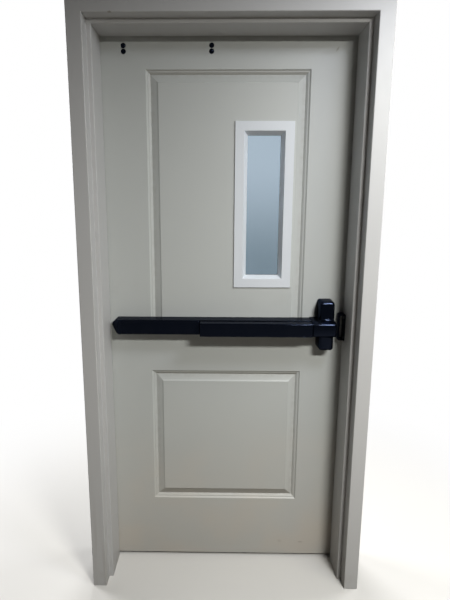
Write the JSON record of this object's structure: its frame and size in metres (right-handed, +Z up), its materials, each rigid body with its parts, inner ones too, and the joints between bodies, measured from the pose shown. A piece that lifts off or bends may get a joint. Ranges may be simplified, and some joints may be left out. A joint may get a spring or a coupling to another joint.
{
  "type": "fire door",
  "caption": "Steel fire door hung in a folded steel frame, with embossed panels, a narrow vision light, a push bar exit device, butt hinges and a surface closer.",
  "frame": {"origin": "bottom centre of the bounding box: on the floor, in the middle of the opening's width, halfway between the frame's front face and the closer's cover", "axes": "+Z up, +Y through the doorway from the push side to the pull side, +X to the right seen from the push side, so the hinges are at -X"},
  "size_m": [1.016, 0.2836, 2.0828],
  "materials": {
    "frame_paint": "satin paint",
    "lite_paint": "smooth white paint",
    "door_paint": "satin paint",
    "primed_steel": "grey primer",
    "plated_steel": "dull plating",
    "dark_metal": "semi-gloss dark coating",
    "cast_body": "painted casting",
    "lite_pane": "clear fire glass",
    "seal_tape": "matt tape",
    "buffer_rubber": "grey rubber",
    "mineral_core": "pale mineral board"
  },
  "bodies": {
    "frame": {"frame_head": "frame_paint", "frame_hinge_jamb": "frame_paint", "frame_strike_jamb": "frame_paint", "jamb_hinge_plates": "primed_steel", "head_closer_plate": "primed_steel", "jamb_strike_plate": "primed_steel", "door_silencers": "buffer_rubber", "wall_anchors": "primed_steel", "floor_anchors": "primed_steel", "strike": "dark_metal", "strike_screws": "plated_steel", "hinge_frame_leaf_1": "plated_steel", "hinge_frame_leaf_2": "plated_steel", "hinge_frame_leaf_3": "plated_steel", "hinge_pin_1": "plated_steel", "hinge_pin_2": "plated_steel", "hinge_pin_3": "plated_steel", "hinge_frame_screws": "plated_steel", "closer_frame_shoe": "dark_metal", "closer_shoe_screws": "plated_steel"},
    "door": {"door_push_skin": "door_paint", "door_pull_skin": "door_paint", "door_core": "mineral_core", "door_top_channel": "primed_steel", "door_bottom_channel": "primed_steel", "door_hinge_plates": "primed_steel", "door_closer_plate": "primed_steel", "lite_push_frame": "lite_paint", "lite_pull_frame": "lite_paint", "lite_glass": "lite_pane", "lite_push_tape": "seal_tape", "lite_pull_tape": "seal_tape", "lite_screws": "plated_steel", "hinge_door_leaf_1": "plated_steel", "hinge_door_leaf_2": "plated_steel", "hinge_door_leaf_3": "plated_steel", "hinge_door_screws": "plated_steel", "device_rail": "dark_metal", "device_rail_cover": "dark_metal", "device_end_cap": "dark_metal", "device_end_bracket": "plated_steel", "device_crank_pins": "plated_steel", "device_head_base": "plated_steel", "device_head_cover": "dark_metal", "device_barrel_nuts": "dark_metal", "device_bolts": "plated_steel", "closer_body": "cast_body", "closer_cover": "dark_metal", "closer_barrel_nuts": "dark_metal", "closer_bolts": "plated_steel"},
    "push_pad": {"device_push_pad": "dark_metal"},
    "latch": {"device_latch_bolt": "plated_steel", "device_push_rod": "plated_steel"},
    "crank_1": {"device_crank_1": "plated_steel"},
    "crank_2": {"device_crank_2": "plated_steel"},
    "closer_arm": {"closer_main_arm": "dark_metal", "closer_pinion": "plated_steel", "closer_arm_screw": "plated_steel"},
    "closer_link": {"closer_forearm": "dark_metal"}
  },
  "joints": [
    {"name": "door_swing", "type": "hinge", "parent": "frame", "child": "door", "pos_m": [-0.4556, 0.09483, 1.016], "axis": [0, 0, 1], "range_deg": [0, 100], "stiffness_Nm_per_rad": 20, "springref_deg": -60.16},
    {"name": "pad_push", "type": "slide", "parent": "door", "child": "push_pad", "axis": [0, 1, 0], "range_m": [0, 0.012], "stiffness_N_per_m": 1500, "springref_m": -0.01},
    {"name": "latch_draw", "type": "slide", "parent": "door", "child": "latch", "axis": [-1, 0, 0], "range_m": [0, 0.012]},
    {"name": "crank_1_turn", "type": "hinge", "parent": "door", "child": "crank_1", "pos_m": [-0.0315, -0.00168, 1.003], "axis": [0, 0, 1], "range_deg": [0, 33.1]},
    {"name": "crank_2_turn", "type": "hinge", "parent": "door", "child": "crank_2", "pos_m": [0.2235, -0.00168, 1.003], "axis": [0, 0, 1], "range_deg": [0, 33.1]},
    {"name": "closer_arm_turn", "type": "hinge", "parent": "door", "child": "closer_arm", "pos_m": [-0.2556, 0.10777, 2.034], "axis": [0, 0, 1], "range_deg": [-100, 0]},
    {"name": "closer_link_turn", "type": "hinge", "parent": "closer_arm", "child": "closer_link", "pos_m": [0.0144, 0.11027, 2.045], "axis": [0, 0, 1], "range_deg": [0, 100]}
  ],
  "couplings": [
    {"joint": "latch_draw", "follows": "pad_push", "ratio": 1},
    {"joint": "crank_1_turn", "follows": "pad_push", "rad_per_m": 48},
    {"joint": "crank_2_turn", "follows": "pad_push", "rad_per_m": 48},
    {"joint": "closer_arm_turn", "follows": "door_swing", "ratio": -1},
    {"joint": "closer_link_turn", "follows": "door_swing", "ratio": 1}
  ]
}
